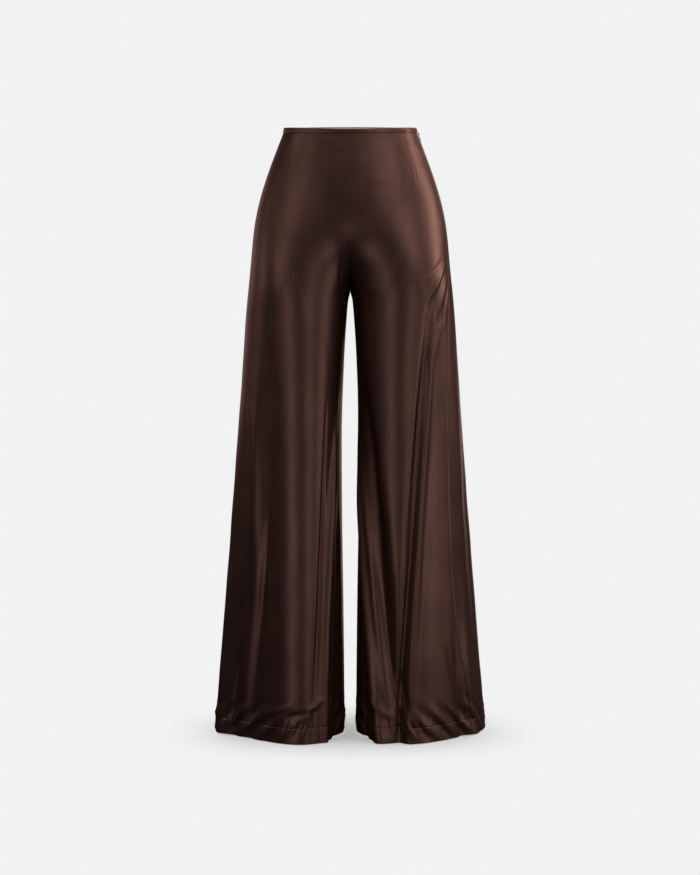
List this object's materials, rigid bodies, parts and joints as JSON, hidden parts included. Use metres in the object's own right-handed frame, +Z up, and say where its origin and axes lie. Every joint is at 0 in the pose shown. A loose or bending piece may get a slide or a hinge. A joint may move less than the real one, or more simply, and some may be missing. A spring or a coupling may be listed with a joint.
{
  "type": "wide-leg satin trousers",
  "caption": "High-waisted wide-leg satin trousers, filled out as worn, with a narrow bound waist edge, deep turned hems and a hidden side zip.",
  "frame": {"origin": "middle of the waist opening, at the height of its sides", "axes": "+Z up, out of the waist; the front faces -Y; +X is the wearer's left"},
  "size_m": [0.5164, 0.2543, 1.15],
  "materials": {
    "satin": "satin weave, chocolate brown",
    "zip_tape": "woven tape, matte dark brown",
    "zip_metal": "dark brown enamel"
  },
  "bodies": {
    "garment": {"front_right": "satin", "front_left": "satin", "back_right": "satin", "back_left": "satin", "waist_binding_front": "satin", "waist_binding_back": "satin", "hem_front_right": "satin", "hem_front_left": "satin", "hem_back_right": "satin", "hem_back_left": "satin", "zip_tape": "zip_tape", "zip_slider": "zip_metal"},
    "pull": {"zip_pull": "zip_metal"}
  },
  "joints": [
    {"name": "zip_pull_swing", "type": "hinge", "parent": "garment", "child": "pull", "pos_m": [0.12718, 0.00007, -0.01074], "axis": [0.0031, -1, 0.0009], "range_deg": [0, 160]}
  ]
}
